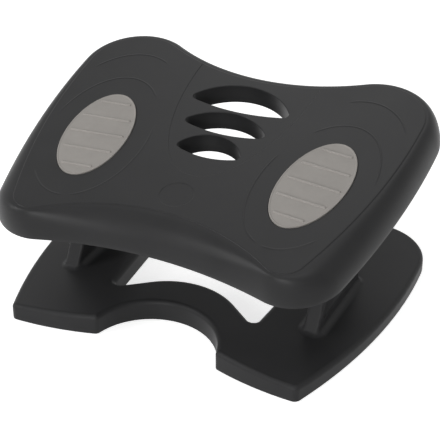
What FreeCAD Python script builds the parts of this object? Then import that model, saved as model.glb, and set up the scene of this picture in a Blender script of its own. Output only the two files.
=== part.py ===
import FreeCAD, Part
import math
import os
from FreeCAD import Vector, Rotation, Placement

# Tilting under desk footrest. A butterfly shaped platform with two ribbed foot pads tilts on two
# friction hinges, each on top of an upright of the base. All sizes are in millimetres and degrees.
# X runs along the width, Y from the user to the wall, Z up. The origin is on the floor under the
# middle of the footprint.

# The tilt that the platform is stored at, rear edge up, and the most it tilts either way from level
TILT = 12.0
TILT_LIMIT = 20.0

# Hinge axis, which lies along X
PIVOT_HEIGHT = 160.5
PIVOT_DEPTH = 32.0
PIVOT_BEHIND_PADS = 30.0

# Platform plan at the foot of its skirt, measured from the line through the middles of the pads
SKIRT_HALF_WIDTH = 227.5
SKIRT_WIDEST_Y = 98.0
SKIRT_SIDE_RADIUS = 960.0
SKIRT_FRONT_Y = -129.0
SKIRT_FRONT_RADIUS = 523.0
SKIRT_FRONT_CORNER = 57.0
SKIRT_REAR_Y = 165.0
SKIRT_REAR_RADIUS = 248.0
SKIRT_REAR_CORNER = 76.0

# Width of the rolled edge in plan, and the plan at the edge of the top face inside it
ROLL_SIDE = 15.5
ROLL_FRONT = 34.0
ROLL_REAR = 15.0
TOP_HALF_WIDTH = SKIRT_HALF_WIDTH - ROLL_SIDE
TOP_WIDEST_Y = 112.0
TOP_SIDE_RADIUS = 715.0
TOP_FRONT_Y = SKIRT_FRONT_Y + ROLL_FRONT
TOP_FRONT_RADIUS = 250.0
TOP_FRONT_CORNER = 26.0
TOP_REAR_Y = SKIRT_REAR_Y - ROLL_REAR
TOP_REAR_RADIUS = 258.0
TOP_REAR_CORNER = 60.0

# Platform section
SKIRT_DEPTH = 36.0
PLATFORM_WALL = 3.0
ROLL_ANGLES = (0.0, 25.0, 48.0, 70.0, 90.0)
STEP_HEIGHT = 0.9
STEP_WIDTH = 2.0

# Lens shaped slots: middle of the front edge, middle of the rear edge, half width
SLOTS = ((4.0, 42.0, 40.0), (46.5, 84.0, 52.5), (88.5, 135.5, 63.0))
SLOT_FRONT_SAG = 9.0
SLOT_TIP_RADIUS = 6.0
SLOT_WALL_DEPTH = 25.0
SLOT_WALL = 2.6
SLOT_RIM_RADIUS = 1.0

# Shallow recess around the slots, and the plain disc in front of it
PETAL_Y = 155.0
PETAL_HALF_WIDTH = 76.0
PETAL_LENGTH = 184.0
PETAL_RECESS = 0.6
DISC_Y = -63.0
DISC_RADIUS = 19.0
DISC_RECESS = 0.5

# Foot pads
PAD_X = 133.0
PAD_HALF_LENGTH = 72.4
PAD_HALF_WIDTH = 37.9
PAD_SPLAY = 5.2
PAD_FIT = 0.3
PAD_POCKET_DEPTH = 2.2
PAD_RISE = 0.8
PAD_LIP_WIDTH = 1.8
PAD_LIP_HEIGHT = 0.5
PAD_RIB_PITCH = 28.0
PAD_RIB_COUNT = 5
PAD_RIB_WIDTH = 2.6
PAD_RIB_HEIGHT = 1.0
PAD_RIB_MARGIN = 7.0
PAD_BED = 2.8

# Pegs moulded on the pads, and the push-on clips that hold them, in each pad's own axes
PAD_PEGS = ((-24.0, 44.0), (-24.0, -44.0), (14.0, -58.0), (27.0, -32.0))
PEG_RADIUS = 2.5
PEG_HOLE_FIT = 0.2
PEG_STAND_OUT = 3.0
CLIP_RADIUS = 5.5
CLIP_THICKNESS = 1.0
CLIP_FIT = 0.05

# Stiffening ribs under the platform. Two long ribs on each side run beside the pad and the bracket.
RIB_THICKNESS = 2.0
RIB_DEPTH = 15.0
CROSS_RIBS = (-88.0, -50.0, 120.0)
RIB_FREE_ZONE = (-40.0, 112.0)
RIB_BESIDE_PAD = 3.1
RIB_BESIDE_BRACKET = 23.0

# Uprights of the base
BASE_HALF_WIDTH = 216.0
UPRIGHT_INSET = 64.0
UPRIGHT_X = BASE_HALF_WIDTH - UPRIGHT_INSET
UPRIGHT_THICKNESS = 19.0
UPRIGHT_WALL = 3.2
UPRIGHT_FOOT_FRONT = -92.0
UPRIGHT_FOOT_REAR = 51.0
UPRIGHT_NECK_FRONT = -38.0
UPRIGHT_NECK_REAR = 38.0
UPRIGHT_NECK_HEIGHT = 112.0
UPRIGHT_HEAD_HALF = 34.0
UPRIGHT_SHOULDER = 4.0
UPRIGHT_HEAD_SOLID = 24.0
HEAD_BOSS_RADIUS = 14.0
UPRIGHT_FLARE = 9.0
UPRIGHT_EDGE_RADIUS = 4.0
UPRIGHT_FRONT_BOW = 5.0
UPRIGHT_REAR_BOW = -2.0
FLANK_POCKET = 1.6
FLANK_MARGIN = 7.0

# Hinge stack, from the upright outwards
DISC_THICKNESS = 2.0
FRICTION_DISC_RADIUS = 13.0
FRICTION_DISC_FIT = 0.4
LUG_THICKNESS = 5.0
LUG_RADIUS = 13.0
LUG_HALF_TOP = 30.0
BOLT_RADIUS = 4.0
BOLT_RUNNING_FIT = 0.05
BOLT_HEAD_ACROSS = 13.0
BOLT_HEAD_HEIGHT = 5.3
BOLT_END = 2.0
WASHER_RADIUS = 8.0
WASHER_THICKNESS = 1.6
SPRING_WASHER_RADIUS = 9.0
SPRING_WASHER_THICKNESS = 1.5
NUT_ACROSS = 13.0
NUT_HEIGHT = 8.0
NUT_COLLAR_RADIUS = 6.0
NUT_COLLAR_HEIGHT = 2.0
THREAD_FIT = 0.05
BUSH_RADIUS = 6.0
BUSH_FIT = 0.05

# Hinge brackets, screwed up into bosses under the platform
BRACKET_PLATE = 4.0
BRACKET_SEAT_DEPTH = 8.0
BRACKET_HALF_WIDTH = 25.0
BRACKET_HALF_LENGTH = 41.0
BRACKET_CORNER = 6.0
SCREW_X = 19.5
SCREW_Y = 34.0
SCREW_RADIUS = 2.0
SCREW_HOLE_FIT = 0.25
SCREW_PILOT_FIT = 0.05
SCREW_HEAD_RADIUS = 4.0
SCREW_HEAD_HEIGHT = 2.6
SCREW_GRIP = 4.0
BOSS_RADIUS = 5.5

# Rubber tilt stops on the shoulders of the uprights
STOP_Y = 26.0
STOP_RADIUS = 6.0
STOP_TOP_RADIUS = 4.8
STOP_GAP = 0.5
STOP_PLUG_RADIUS = 3.0
STOP_PLUG_LENGTH = 8.0
STOP_FIT = 0.05

# Base plan
TOE_INSET = 40.0
TOE_INNER = (55.0, -148.0)
TOE_MIDDLE = (115.0, -164.5)
TOE_OUTER = (BASE_HALF_WIDTH - TOE_INSET, -170.0)
BASE_WIDEST_Y = 55.0
BASE_REAR_Y = 176.2
BASE_REAR_CORNER = 62.0
BASE_FRONT_CORNER = 8.0
FRONT_ARCH_Y = -170.0
FRONT_ARCH_RADIUS = 75.0
FRONT_ARCH_CORNER = 6.5
BAND_REAR_Y = -46.0
BAND_REAR_RADIUS = 88.0
BAND_REAR_SLOPE = 37.0
FRONT_LOBE_WIDTH = 126.0
REAR_LOBE_WIDTH = 109.0
NOTCH_HALF_FRONT = BASE_HALF_WIDTH - FRONT_LOBE_WIDTH
NOTCH_HALF_REAR = BASE_HALF_WIDTH - REAR_LOBE_WIDTH
NOTCH_CORNER = 7.0
NOTCH_MOUTH_CORNER = 24.0

# Base section
BASE_MIDDLE_HEIGHT = 26.5
BASE_EDGE_HEIGHT = 17.5
BASE_EDGE_RADIUS = 6.0
BASE_WALL = 3.0
BASE_RIB_THICKNESS = 2.0
BASE_RIB_PITCH = 40.0

# Rubber feet
FOOT_RADIUS = 13.0
FOOT_THICKNESS = 4.0
FOOT_STAND_OUT = 1.5
FOOT_FIT = 0.2
FOOT_BOSS_WALL = 2.5
FOOT_FRONT_INSET = 76.0
FOOT_REAR_INSET = 44.0
FEET = ((BASE_HALF_WIDTH - FOOT_FRONT_INSET, -146.0), (BASE_HALF_WIDTH - FOOT_REAR_INSET, 138.0))

# How far pieces of one moulding run into each other before they are joined, and how near is touching
OVERLAP = 1.0
TOUCH = 0.01

# Worked out from the sizes above
LONG_RIBS = (PAD_X - PAD_HALF_WIDTH - RIB_BESIDE_PAD, UPRIGHT_X + BRACKET_HALF_WIDTH + RIB_BESIDE_BRACKET)
HALF_UPRIGHT = UPRIGHT_THICKNESS / 2
LUG_INSIDE = HALF_UPRIGHT + DISC_THICKNESS
LUG_OUTSIDE = LUG_INSIDE + LUG_THICKNESS
PLATE_TOP = PIVOT_DEPTH - BRACKET_SEAT_DEPTH
PLATE_UNDERSIDE = PLATE_TOP - BRACKET_PLATE
SHOULDER_HEIGHT = PIVOT_HEIGHT + UPRIGHT_SHOULDER
X_AXIS = Vector(1, 0, 0)
Z_AXIS = Vector(0, 0, 1)


def rod(radius, length, start, direction):
    """Solid cylinder from a start point."""
    return Part.makeCylinder(radius, length, start, direction)


def box(x0, x1, y0, y1, z0, z1):
    """Solid box between two corners."""
    return Part.makeBox(x1 - x0, y1 - y0, z1 - z0, Vector(x0, y0, z0))


def arc(start, middle, end):
    """Edge of a circle through three points."""
    return Part.Arc(start, middle, end).toShape()


def prism(wire, height):
    """Solid above a closed flat wire."""
    return Part.Face(wire).extrude(Vector(0, 0, height))


def mirrored(shape):
    """The same shape on the other side of the middle plane."""
    return shape.mirror(Vector(0, 0, 0), X_AXIS)


def ellipse_prism(cx, cy, half_x, half_y, turn, z0, z1):
    """Upright elliptical solid, turned about its own middle."""
    if half_y > half_x:
        curve = Part.Ellipse(Vector(0, 0, 0), half_y, half_x)
        turn = turn + 90.0
    else:
        curve = Part.Ellipse(Vector(0, 0, 0), half_x, half_y)
    wire = Part.Wire([curve.toShape()])
    wire.Placement = Placement(Vector(cx, cy, z0), Rotation(Z_AXIS, turn))
    return prism(wire, z1 - z0)


def corner_centre(middle, middle_radius, side, side_radius, radius):
    """Centre of a corner arc that leaves a concave edge and runs into the convex side."""
    far = middle_radius + radius
    near = side_radius - radius
    across = side - middle
    span = across.Length
    along = (far ** 2 - near ** 2 + span ** 2) / (2 * span)
    rise = math.sqrt(far ** 2 - along ** 2)
    unit = across * (1 / span)
    normal = Vector(-unit.y, unit.x, 0)
    first = middle + unit * along + normal * rise
    second = middle + unit * along - normal * rise
    return first if first.x > second.x else second


def towards(centre, radius, point):
    """Point of a circle in the direction of another point."""
    way = point - centre
    return centre + way * (radius / way.Length)


def arc_on(centre, radius, start, end):
    """Edge along a circle from one of its points to another, the short way round."""
    middle = towards(centre, radius, (start + end) * 0.5)
    return arc(start, middle, end)


def platform_outline(roll, inset, z):
    """Closed plan outline of the platform. Roll is 0 at the foot of the skirt and 1 at the top face."""
    def between(low, high):
        return low + (high - low) * roll

    def bent(low, high):
        return 1 / between(1 / low, 1 / high)

    half = between(SKIRT_HALF_WIDTH, TOP_HALF_WIDTH) - inset
    side_radius = bent(SKIRT_SIDE_RADIUS, TOP_SIDE_RADIUS) - inset
    front_y = between(SKIRT_FRONT_Y, TOP_FRONT_Y) + inset
    front_radius = bent(SKIRT_FRONT_RADIUS, TOP_FRONT_RADIUS) + inset
    front_corner = between(SKIRT_FRONT_CORNER, TOP_FRONT_CORNER) - inset
    rear_y = between(SKIRT_REAR_Y, TOP_REAR_Y) - inset
    rear_radius = bent(SKIRT_REAR_RADIUS, TOP_REAR_RADIUS) + inset
    rear_corner = between(SKIRT_REAR_CORNER, TOP_REAR_CORNER) - inset

    side = Vector(half - side_radius, between(SKIRT_WIDEST_Y, TOP_WIDEST_Y), 0)
    front = Vector(0, front_y - front_radius, 0)
    rear = Vector(0, rear_y + rear_radius, 0)
    front_bend = corner_centre(front, front_radius, side, side_radius, front_corner)
    rear_bend = corner_centre(rear, rear_radius, side, side_radius, rear_corner)
    front_end = towards(front, front_radius, front_bend)
    side_start = towards(side, side_radius, front_bend)
    side_end = towards(side, side_radius, rear_bend)
    rear_end = towards(rear, rear_radius, rear_bend)

    def flip(point):
        return Vector(-point.x, point.y, point.z)

    edges = [
        arc(flip(front_end), Vector(0, front_y, 0), front_end),
        arc_on(front_bend, front_corner, front_end, side_start),
        arc_on(side, side_radius, side_start, side_end),
        arc_on(rear_bend, rear_corner, side_end, rear_end),
        arc(rear_end, Vector(0, rear_y, 0), flip(rear_end)),
        arc_on(flip(rear_bend), rear_corner, flip(rear_end), flip(side_end)),
        arc_on(flip(side), side_radius, flip(side_end), flip(side_start)),
        arc_on(flip(front_bend), front_corner, flip(side_start), flip(front_end)),
    ]
    wire = Part.Wire(edges)
    wire.translate(Vector(0, 0, z))
    return wire


def rolled_body(inset, top_z, bottom_z):
    """Body that rises from the skirt's foot and rolls over to the top face as a quarter ellipse."""
    sections = []
    for angle in ROLL_ANGLES:
        turn = math.radians(angle)
        z = bottom_z + (top_z - bottom_z) * math.sin(turn)
        sections.append(platform_outline(1 - math.cos(turn), inset, z))
    return Part.makeLoft(sections, True, False)


def lens(slot, grow, z0, z1):
    """Upright lens shaped solid of one slot, or of the wall round it where it is grown."""
    front_y, rear_y, half_width = slot
    front_y -= grow
    rear_y += grow
    half_width += grow
    tip_y = front_y + SLOT_FRONT_SAG
    left = Vector(-half_width, tip_y, z0)
    right = Vector(half_width, tip_y, z0)
    wire = Part.Wire([
        arc(left, Vector(0, front_y, z0), right),
        arc(right, Vector(0, rear_y, z0), left),
    ])
    solid = prism(wire, z1 - z0)
    tips = [e for e in solid.Edges if e.BoundBox.ZLength > (z1 - z0) / 2]
    return solid.makeFillet(SLOT_TIP_RADIUS + grow, tips)


def pad_place(side, along_x, along_y):
    """Plan position on the platform of a point given in a pad's own axes. Side is 1 right, -1 left."""
    splay = math.radians(PAD_SPLAY)
    x = PAD_X + along_x * math.cos(splay) + along_y * math.sin(splay)
    y = along_y * math.cos(splay) - along_x * math.sin(splay)
    return side * x, y


def pad_prism(side, grow, z0, z1):
    """Upright solid with a pad's outline."""
    half_x = PAD_HALF_WIDTH + grow
    half_y = PAD_HALF_LENGTH + grow
    return ellipse_prism(side * PAD_X, 0, half_x, half_y, -side * PAD_SPLAY, z0, z1)


def screw_places(side):
    """Plan positions on the platform of a bracket's four screws."""
    for dx in (-SCREW_X, SCREW_X):
        for dy in (-SCREW_Y, SCREW_Y):
            yield side * (UPRIGHT_X + dx), PIVOT_BEHIND_PADS + dy


def platform_shell():
    """Moulded platform: top, rolled skirt, slots with deep walls, pad pockets, ribs and bosses."""
    cavity_top = -PLATFORM_WALL
    shell = rolled_body(0.0, -STEP_HEIGHT, -SKIRT_DEPTH)
    shell = shell.fuse(prism(platform_outline(1.0, STEP_WIDTH, -PLATFORM_WALL), PLATFORM_WALL))
    cavity = rolled_body(PLATFORM_WALL, cavity_top, -SKIRT_DEPTH)

    kept = []
    for slot in SLOTS:
        kept.append(lens(slot, SLOT_WALL, -SLOT_WALL_DEPTH, cavity_top + OVERLAP))
    for side in (-1, 1):
        kept.append(pad_prism(side, PLATFORM_WALL, -PAD_POCKET_DEPTH - PAD_BED, cavity_top + OVERLAP))
        for x, y in screw_places(side):
            kept.append(rod(BOSS_RADIUS, BRACKET_SEAT_DEPTH, Vector(x, y, -BRACKET_SEAT_DEPTH), Z_AXIS))
    ribs = []
    reach = SKIRT_HALF_WIDTH
    half_rib = RIB_THICKNESS / 2
    for y in CROSS_RIBS:
        ribs.append(box(-reach, reach, y - half_rib, y + half_rib, -RIB_DEPTH, cavity_top + OVERLAP))
    for x in LONG_RIBS:
        for side in (-1, 1):
            x_mid = side * x
            rib = box(x_mid - half_rib, x_mid + half_rib, -reach, reach, -RIB_DEPTH, cavity_top + OVERLAP)
            ribs.append(rib)
    free = []
    for side in (-1, 1):
        low, high = sorted((side * (LONG_RIBS[0] + half_rib), side * (LONG_RIBS[1] - half_rib)))
        free.append(box(low, high, RIB_FREE_ZONE[0], RIB_FREE_ZONE[1], -RIB_DEPTH, cavity_top + OVERLAP))
    kept.append(ribs[0].fuse(ribs[1:]).cut(free).common(cavity))
    cavity = cavity.cut(kept)
    shell = shell.cut(cavity)

    cuts = []
    for slot in SLOTS:
        cuts.append(lens(slot, 0.0, -SKIRT_DEPTH, PLATFORM_WALL))
    cuts.append(ellipse_prism(0, PETAL_Y, PETAL_HALF_WIDTH, PETAL_LENGTH, 0, -PETAL_RECESS, PLATFORM_WALL))
    cuts.append(rod(DISC_RADIUS, PLATFORM_WALL, Vector(0, DISC_Y, -DISC_RECESS), Z_AXIS))
    for side in (-1, 1):
        cuts.append(pad_prism(side, PAD_FIT, -PAD_POCKET_DEPTH, PLATFORM_WALL))
        for peg in PAD_PEGS:
            x, y = pad_place(side, *peg)
            cuts.append(rod(PEG_RADIUS + PEG_HOLE_FIT, SKIRT_DEPTH, Vector(x, y, -SKIRT_DEPTH), Z_AXIS))
        for x, y in screw_places(side):
            start = Vector(x, y, -BRACKET_SEAT_DEPTH)
            cuts.append(rod(SCREW_RADIUS + SCREW_PILOT_FIT, SCREW_GRIP + SCREW_PILOT_FIT, start, Z_AXIS))
    shell = shell.cut(cuts)
    rims = []
    for edge in shell.Edges:
        spot = edge.BoundBox
        flat = abs(spot.ZMax + PETAL_RECESS) < TOUCH and spot.ZLength < TOUCH
        narrow = spot.XLength < 2 * SLOTS[-1][2] + TOUCH
        if flat and narrow and SLOTS[0][0] - TOUCH < spot.Center.y < SLOTS[-1][1] + TOUCH:
            rims.append(edge)
    return shell.makeFillet(SLOT_RIM_RADIUS, rims)


def massage_pad(side):
    """Soft grey foot pad with a raised lip, five ribs across it and pegs underneath."""
    floor = -PAD_POCKET_DEPTH
    top = PAD_RISE
    pad = pad_prism(side, 0.0, floor, top)
    lip = pad_prism(side, 0.0, top, top + PAD_LIP_HEIGHT)
    pieces = [lip.cut(pad_prism(side, -PAD_LIP_WIDTH, floor, PLATFORM_WALL))]
    for number in range(PAD_RIB_COUNT):
        y = (number - (PAD_RIB_COUNT - 1) / 2) * PAD_RIB_PITCH
        inside = 1 - (y / PAD_HALF_LENGTH) ** 2
        half = PAD_HALF_WIDTH * math.sqrt(inside) - PAD_RIB_MARGIN
        x_mid, y_mid = pad_place(side, 0, y)
        rib = box(-half, half, -PAD_RIB_WIDTH / 2, PAD_RIB_WIDTH / 2, 0, PAD_RIB_HEIGHT)
        for end in (-half, half):
            rib = rib.fuse(rod(PAD_RIB_WIDTH / 2, PAD_RIB_HEIGHT, Vector(end, 0, 0), Z_AXIS))
        rib.translate(Vector(x_mid, y_mid, top))
        pieces.append(rib)
    for peg in PAD_PEGS:
        x, y = pad_place(side, *peg)
        length = PAD_BED + PEG_STAND_OUT
        pieces.append(rod(PEG_RADIUS, length, Vector(x, y, floor - length), Z_AXIS))
    return pad.fuse(pieces).removeSplitter()


def pad_clips(side):
    """Push-on clips on the pegs of one pad."""
    clips = []
    seat = -PAD_POCKET_DEPTH - PAD_BED
    for peg in PAD_PEGS:
        x, y = pad_place(side, *peg)
        start = Vector(x, y, seat - CLIP_THICKNESS)
        ring = rod(CLIP_RADIUS, CLIP_THICKNESS, start, Z_AXIS)
        clips.append(ring.cut(rod(PEG_RADIUS + CLIP_FIT, CLIP_THICKNESS, start, Z_AXIS)))
    return Part.makeCompound(clips)


def hinge_bracket():
    """Saddle with two lugs that straddle the head of the upright, in the axes of the hinge."""
    plate = box(-BRACKET_HALF_WIDTH, BRACKET_HALF_WIDTH, -BRACKET_HALF_LENGTH, BRACKET_HALF_LENGTH,
                PLATE_UNDERSIDE, PLATE_TOP)
    corners = [e for e in plate.Edges if e.BoundBox.ZLength > BRACKET_PLATE / 2]
    plate = plate.makeFillet(BRACKET_CORNER, corners)
    pieces = [plate]
    for x in (-LUG_OUTSIDE, LUG_INSIDE):
        tangent = math.asin(LUG_RADIUS / math.hypot(LUG_HALF_TOP, PLATE_UNDERSIDE))
        lean = math.atan2(LUG_HALF_TOP, PLATE_UNDERSIDE)
        angle = lean - math.pi / 2 + tangent
        side_y = LUG_RADIUS * math.cos(angle)
        side_z = LUG_RADIUS * math.sin(angle)
        top_front = Vector(x, -LUG_HALF_TOP, PLATE_UNDERSIDE)
        top_rear = Vector(x, LUG_HALF_TOP, PLATE_UNDERSIDE)
        wire = Part.Wire([
            Part.makeLine(top_front, top_rear),
            Part.makeLine(top_rear, Vector(x, side_y, side_z)),
            arc(Vector(x, side_y, side_z), Vector(x, 0, -LUG_RADIUS), Vector(x, -side_y, side_z)),
            Part.makeLine(Vector(x, -side_y, side_z), top_front),
        ])
        pieces.append(Part.Face(wire).extrude(Vector(LUG_THICKNESS, 0, 0)))
    bracket = pieces[0].fuse(pieces[1:])
    cuts = [rod(BOLT_RADIUS + THREAD_FIT, 4 * LUG_OUTSIDE, Vector(-2 * LUG_OUTSIDE, 0, 0), X_AXIS)]
    for dx in (-SCREW_X, SCREW_X):
        for dy in (-SCREW_Y, SCREW_Y):
            start = Vector(dx, dy, PLATE_UNDERSIDE)
            cuts.append(rod(SCREW_RADIUS + SCREW_HOLE_FIT, BRACKET_PLATE, start, Z_AXIS))
    return bracket.cut(cuts).removeSplitter()


def bracket_screws():
    """Four pan head screws that hold a bracket, in the axes of the hinge."""
    screws = []
    for dx in (-SCREW_X, SCREW_X):
        for dy in (-SCREW_Y, SCREW_Y):
            head_end = Vector(dx, dy, PLATE_UNDERSIDE - SCREW_HEAD_HEIGHT)
            head = rod(SCREW_HEAD_RADIUS, SCREW_HEAD_HEIGHT, head_end, Z_AXIS)
            shank = rod(SCREW_RADIUS, BRACKET_PLATE + SCREW_GRIP, Vector(dx, dy, PLATE_UNDERSIDE), Z_AXIS)
            drive = rod(SCREW_HEAD_HEIGHT / 2, SCREW_HEAD_HEIGHT / 2, head_end, Z_AXIS)
            screws.append(head.fuse(shank).cut(drive))
    return Part.makeCompound(screws)


def hexagon(across, height, start_x):
    """Hexagonal prism along X, in the axes of the hinge."""
    reach = across / math.sqrt(3)
    points = []
    for number in range(7):
        turn = math.radians(60 * number)
        points.append(Vector(start_x, reach * math.cos(turn), reach * math.sin(turn)))
    return Part.Face(Part.makePolygon(points)).extrude(Vector(height, 0, 0))


def ring_on_axis(outer, inner, start_x, thickness):
    """Flat ring round the hinge axis."""
    start = Vector(start_x, 0, 0)
    return rod(outer, thickness, start, X_AXIS).cut(rod(inner, thickness, start, X_AXIS))


def pivot_bolt():
    """Hinge bolt with its head on the outer side."""
    head_start = LUG_OUTSIDE + WASHER_THICKNESS
    tail = -LUG_OUTSIDE - SPRING_WASHER_THICKNESS - NUT_HEIGHT - BOLT_END
    head = hexagon(BOLT_HEAD_ACROSS, BOLT_HEAD_HEIGHT, head_start)
    return head.fuse(rod(BOLT_RADIUS, head_start - tail, Vector(tail, 0, 0), X_AXIS)).removeSplitter()


def lock_nut():
    """Nut with a nylon collar, which holds the friction setting."""
    start = -LUG_OUTSIDE - SPRING_WASHER_THICKNESS - NUT_HEIGHT
    body = hexagon(NUT_ACROSS, NUT_HEIGHT - NUT_COLLAR_HEIGHT, start + NUT_COLLAR_HEIGHT)
    body = body.fuse(rod(NUT_COLLAR_RADIUS, NUT_COLLAR_HEIGHT, Vector(start, 0, 0), X_AXIS))
    return body.cut(rod(BOLT_RADIUS + THREAD_FIT, NUT_HEIGHT, Vector(start, 0, 0), X_AXIS))


def spring_washer():
    """Dished spring washer under the nut, drawn pressed flat."""
    start = -LUG_OUTSIDE - SPRING_WASHER_THICKNESS
    return ring_on_axis(SPRING_WASHER_RADIUS, BOLT_RADIUS + THREAD_FIT, start, SPRING_WASHER_THICKNESS)


def head_washer():
    """Flat washer under the bolt's head."""
    return ring_on_axis(WASHER_RADIUS, BOLT_RADIUS + THREAD_FIT, LUG_OUTSIDE, WASHER_THICKNESS)


def pivot_bush():
    """Nylon bush in the upright's bore, in which the bolt turns."""
    return ring_on_axis(BUSH_RADIUS, BOLT_RADIUS + BOLT_RUNNING_FIT, -HALF_UPRIGHT, UPRIGHT_THICKNESS)


def friction_disc(start_x):
    """Friction disc between the upright and a lug."""
    return ring_on_axis(FRICTION_DISC_RADIUS, BOLT_RADIUS + FRICTION_DISC_FIT, start_x, DISC_THICKNESS)


def stop_head_height():
    """Height of a tilt stop that the bracket's plate just reaches at the tilt limit."""
    limit = math.radians(TILT_LIMIT)
    reach = STOP_Y + STOP_RADIUS
    plate = (PLATE_UNDERSIDE - reach * math.sin(limit)) / math.cos(limit)
    return plate - UPRIGHT_SHOULDER - STOP_GAP


def tilt_stop(y):
    """Rubber buffer with a plug, on a shoulder of the upright, in the axes of the hinge."""
    height = stop_head_height()
    base = Vector(0, y, UPRIGHT_SHOULDER)
    head = Part.makeCone(STOP_RADIUS, STOP_TOP_RADIUS, height, base, Z_AXIS)
    plug_end = Vector(0, y, UPRIGHT_SHOULDER - STOP_PLUG_LENGTH)
    return head.fuse(rod(STOP_PLUG_RADIUS, STOP_PLUG_LENGTH, plug_end, Z_AXIS))


def nearest_upright_edge(solid, place):
    """The vertical edge that stands nearest to a place in the plan."""
    def distance(edge):
        middle = edge.BoundBox.Center
        return math.hypot(middle.x - place.x, middle.y - place.y)

    upright_edges = [e for e in solid.Edges if e.BoundBox.DiagonalLength < e.BoundBox.ZLength + TOUCH]
    return min(upright_edges, key=distance)


def base_slab(z0, z1, inset):
    """Slab with the base's plan: two lobes joined by a band between the front arch and the rear notch."""
    side_rise = BASE_HALF_WIDTH - TOE_OUTER[0]
    side_run = BASE_WIDEST_Y - TOE_OUTER[1]
    side_radius = (side_rise ** 2 + side_run ** 2) / (2 * side_rise)
    side = Vector(BASE_HALF_WIDTH - side_radius, BASE_WIDEST_Y, z0)
    bend_y = BASE_REAR_Y - BASE_REAR_CORNER
    bend_x = side.x + math.sqrt((side_radius - BASE_REAR_CORNER) ** 2 - (bend_y - side.y) ** 2)
    bend = Vector(bend_x, bend_y, z0)
    toe_inner = Vector(TOE_INNER[0], TOE_INNER[1] + inset, z0)
    toe_middle = Vector(TOE_MIDDLE[0], TOE_MIDDLE[1] + inset, z0)
    toe_outer = Vector(TOE_OUTER[0] - inset, TOE_OUTER[1] + inset, z0)
    side_end = towards(side, side_radius - inset, bend)
    rear_y = BASE_REAR_Y - inset
    rear_start = Vector(bend.x, rear_y, z0)

    def flip(point):
        return Vector(-point.x, point.y, point.z)

    outer = Part.Wire([
        Part.makeLine(flip(toe_inner), toe_inner),
        arc(toe_inner, toe_middle, toe_outer),
        arc_on(side, side_radius - inset, toe_outer, side_end),
        arc_on(bend, BASE_REAR_CORNER - inset, side_end, rear_start),
        Part.makeLine(rear_start, flip(rear_start)),
        arc_on(flip(bend), BASE_REAR_CORNER - inset, flip(rear_start), flip(side_end)),
        arc_on(flip(side), side_radius - inset, flip(side_end), flip(toe_outer)),
        arc(flip(toe_outer), flip(toe_middle), flip(toe_inner)),
    ])
    slab = prism(outer, z1 - z0)

    slope = math.radians(BAND_REAR_SLOPE)
    band_radius = BAND_REAR_RADIUS - inset
    half_front = NOTCH_HALF_FRONT + inset
    leave = Vector(0, BAND_REAR_Y - BAND_REAR_RADIUS, z0)
    leave = leave + Vector(math.sin(slope), math.cos(slope), 0) * band_radius
    corner = leave + Vector(1, -math.tan(slope), 0) * (half_front - leave.x)
    mouth = Vector(NOTCH_HALF_REAR + inset, BASE_REAR_Y, z0)
    beyond = mouth + Vector(0, BASE_REAR_CORNER, 0)
    notch_wire = Part.Wire([
        arc(flip(leave), Vector(0, BAND_REAR_Y - inset, z0), leave),
        Part.makeLine(leave, corner),
        Part.makeLine(corner, mouth),
        Part.makeLine(mouth, beyond),
        Part.makeLine(beyond, flip(beyond)),
        Part.makeLine(flip(beyond), flip(mouth)),
        Part.makeLine(flip(mouth), flip(corner)),
        Part.makeLine(flip(corner), flip(leave)),
    ])
    notch = prism(notch_wire, z1 - z0)
    arch = rod(FRONT_ARCH_RADIUS + inset, z1 - z0, Vector(0, FRONT_ARCH_Y, z0), Z_AXIS)
    slab = slab.cut([notch, arch])

    rounded = (
        (BASE_FRONT_CORNER - inset, toe_outer),
        (FRONT_ARCH_CORNER - inset, Vector(FRONT_ARCH_RADIUS, toe_inner.y, z0)),
        (NOTCH_CORNER + inset, corner),
        (NOTCH_MOUTH_CORNER - inset, mouth),
    )
    for radius, place in rounded:
        pair = [nearest_upright_edge(slab, place), nearest_upright_edge(slab, flip(place))]
        slab = slab.makeFillet(radius, pair)
    return slab


def base_crown(drop):
    """Space under the base's gently arched top, lowered by a wall where it is given."""
    fall = BASE_MIDDLE_HEIGHT - BASE_EDGE_HEIGHT
    radius = (BASE_HALF_WIDTH ** 2 + fall ** 2) / (2 * fall)
    centre = Vector(0, -2 * BASE_REAR_Y, BASE_MIDDLE_HEIGHT - radius)
    return rod(radius - drop, 4 * BASE_REAR_Y, centre, Vector(0, 1, 0))


def upright_face(x):
    """Side profile of an upright, as a face at one X."""
    low = FOOT_STAND_OUT
    foot_front = Vector(x, UPRIGHT_FOOT_FRONT, low)
    foot_rear = Vector(x, UPRIGHT_FOOT_REAR, low)
    neck_front = Vector(x, UPRIGHT_NECK_FRONT, UPRIGHT_NECK_HEIGHT)
    neck_rear = Vector(x, UPRIGHT_NECK_REAR, UPRIGHT_NECK_HEIGHT)
    head_front = Vector(x, -UPRIGHT_HEAD_HALF, SHOULDER_HEIGHT)
    head_rear = Vector(x, UPRIGHT_HEAD_HALF, SHOULDER_HEIGHT)

    def bowed(start, end, bow):
        middle = (start + end) * 0.5 + Vector(0, bow, 0)
        return arc(start, middle, end)

    wire = Part.Wire([
        bowed(foot_rear, neck_rear, UPRIGHT_REAR_BOW),
        Part.makeLine(neck_rear, head_rear),
        Part.makeLine(head_rear, head_front),
        Part.makeLine(head_front, neck_front),
        bowed(neck_front, foot_front, UPRIGHT_FRONT_BOW),
        Part.makeLine(foot_front, foot_rear),
    ])
    return Part.Face(wire)


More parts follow.
